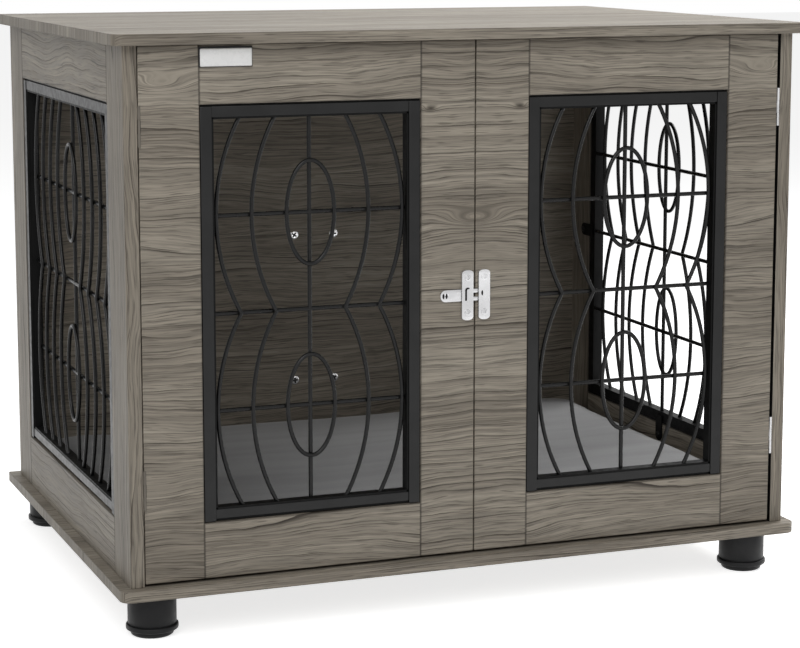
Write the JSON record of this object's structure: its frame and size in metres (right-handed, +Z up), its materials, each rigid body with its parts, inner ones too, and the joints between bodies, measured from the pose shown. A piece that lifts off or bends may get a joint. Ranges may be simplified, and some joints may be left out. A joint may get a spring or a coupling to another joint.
{
  "type": "pet crate",
  "caption": "Furniture dog crate: a low wood cabinet with bent-wire grilles in hinged double doors and sides, a sliding latch, a floor cushion and levelling feet",
  "frame": {"origin": "centre of the bounding box on the floor", "axes": "+X to the right across the doors, +Y to the back, +Z up; the doors face -Y"},
  "size_m": [0.8, 0.578, 0.638],
  "materials": {
    "grey_oak_board": "grey-brown wood-grain laminate on board, satin",
    "black_steel": "black powder-coated steel, satin",
    "bright_steel": "bright zinc-plated steel",
    "black_plastic": "black moulded plastic, satin",
    "grey_fabric": "grey woven cover over foam"
  },
  "bodies": {
    "cabinet": {"top_board": "grey_oak_board", "base_board": "grey_oak_board", "left_side_front_stile": "grey_oak_board", "left_side_rear_stile": "grey_oak_board", "left_side_top_rail": "grey_oak_board", "left_side_bottom_rail": "grey_oak_board", "left_side_grille": "black_steel", "right_side_front_stile": "grey_oak_board", "right_side_rear_stile": "grey_oak_board", "right_side_top_rail": "grey_oak_board", "right_side_bottom_rail": "grey_oak_board", "right_side_grille": "black_steel", "back_panel_left": "grey_oak_board", "back_panel_right": "grey_oak_board", "back_batten": "grey_oak_board", "left_upper_hinge_frame_leaf": "bright_steel", "left_upper_hinge_pin": "bright_steel", "left_lower_hinge_frame_leaf": "bright_steel", "left_lower_hinge_pin": "bright_steel", "right_upper_hinge_frame_leaf": "bright_steel", "right_upper_hinge_pin": "bright_steel", "right_lower_hinge_frame_leaf": "bright_steel", "right_lower_hinge_pin": "bright_steel", "front_left_leg": "black_plastic", "front_right_leg": "black_plastic", "rear_left_leg": "black_plastic", "rear_right_leg": "black_plastic", "cushion": "grey_fabric"},
    "left_door": {"left_door_hinge_stile": "grey_oak_board", "left_door_meeting_stile": "grey_oak_board", "left_door_top_rail": "grey_oak_board", "left_door_bottom_rail": "grey_oak_board", "left_door_grille": "black_steel", "left_upper_hinge_door_leaf": "bright_steel", "left_lower_hinge_door_leaf": "bright_steel", "latch_guide": "bright_steel"},
    "right_door": {"right_door_hinge_stile": "grey_oak_board", "right_door_meeting_stile": "grey_oak_board", "right_door_top_rail": "grey_oak_board", "right_door_bottom_rail": "grey_oak_board", "right_door_grille": "black_steel", "right_upper_hinge_door_leaf": "bright_steel", "right_lower_hinge_door_leaf": "bright_steel", "latch_keeper": "bright_steel"},
    "latch_bolt": {"latch_bolt": "bright_steel"},
    "front_left_glide": {"front_left_glide": "black_plastic"},
    "front_right_glide": {"front_right_glide": "black_plastic"},
    "rear_left_glide": {"rear_left_glide": "black_plastic"},
    "rear_right_glide": {"rear_right_glide": "black_plastic"}
  },
  "joints": [
    {"name": "left_door_swing", "type": "hinge", "parent": "cabinet", "child": "left_door", "pos_m": [-0.3708, -0.2765, 0.35], "axis": [0, 0, -1], "range_deg": [0, 170]},
    {"name": "right_door_swing", "type": "hinge", "parent": "cabinet", "child": "right_door", "pos_m": [0.3708, -0.2765, 0.35], "axis": [0, 0, 1], "range_deg": [0, 170]},
    {"name": "latch_bolt_slide", "type": "slide", "parent": "left_door", "child": "latch_bolt", "axis": [-1, 0, 0], "range_m": [0, 0.017]},
    {"name": "front_left_glide_level", "type": "slide", "parent": "cabinet", "child": "front_left_glide", "axis": [0, 0, -1], "range_m": [0, 0.01]},
    {"name": "front_right_glide_level", "type": "slide", "parent": "cabinet", "child": "front_right_glide", "axis": [0, 0, -1], "range_m": [0, 0.01]},
    {"name": "rear_left_glide_level", "type": "slide", "parent": "cabinet", "child": "rear_left_glide", "axis": [0, 0, -1], "range_m": [0, 0.01]},
    {"name": "rear_right_glide_level", "type": "slide", "parent": "cabinet", "child": "rear_right_glide", "axis": [0, 0, -1], "range_m": [0, 0.01]}
  ]
}
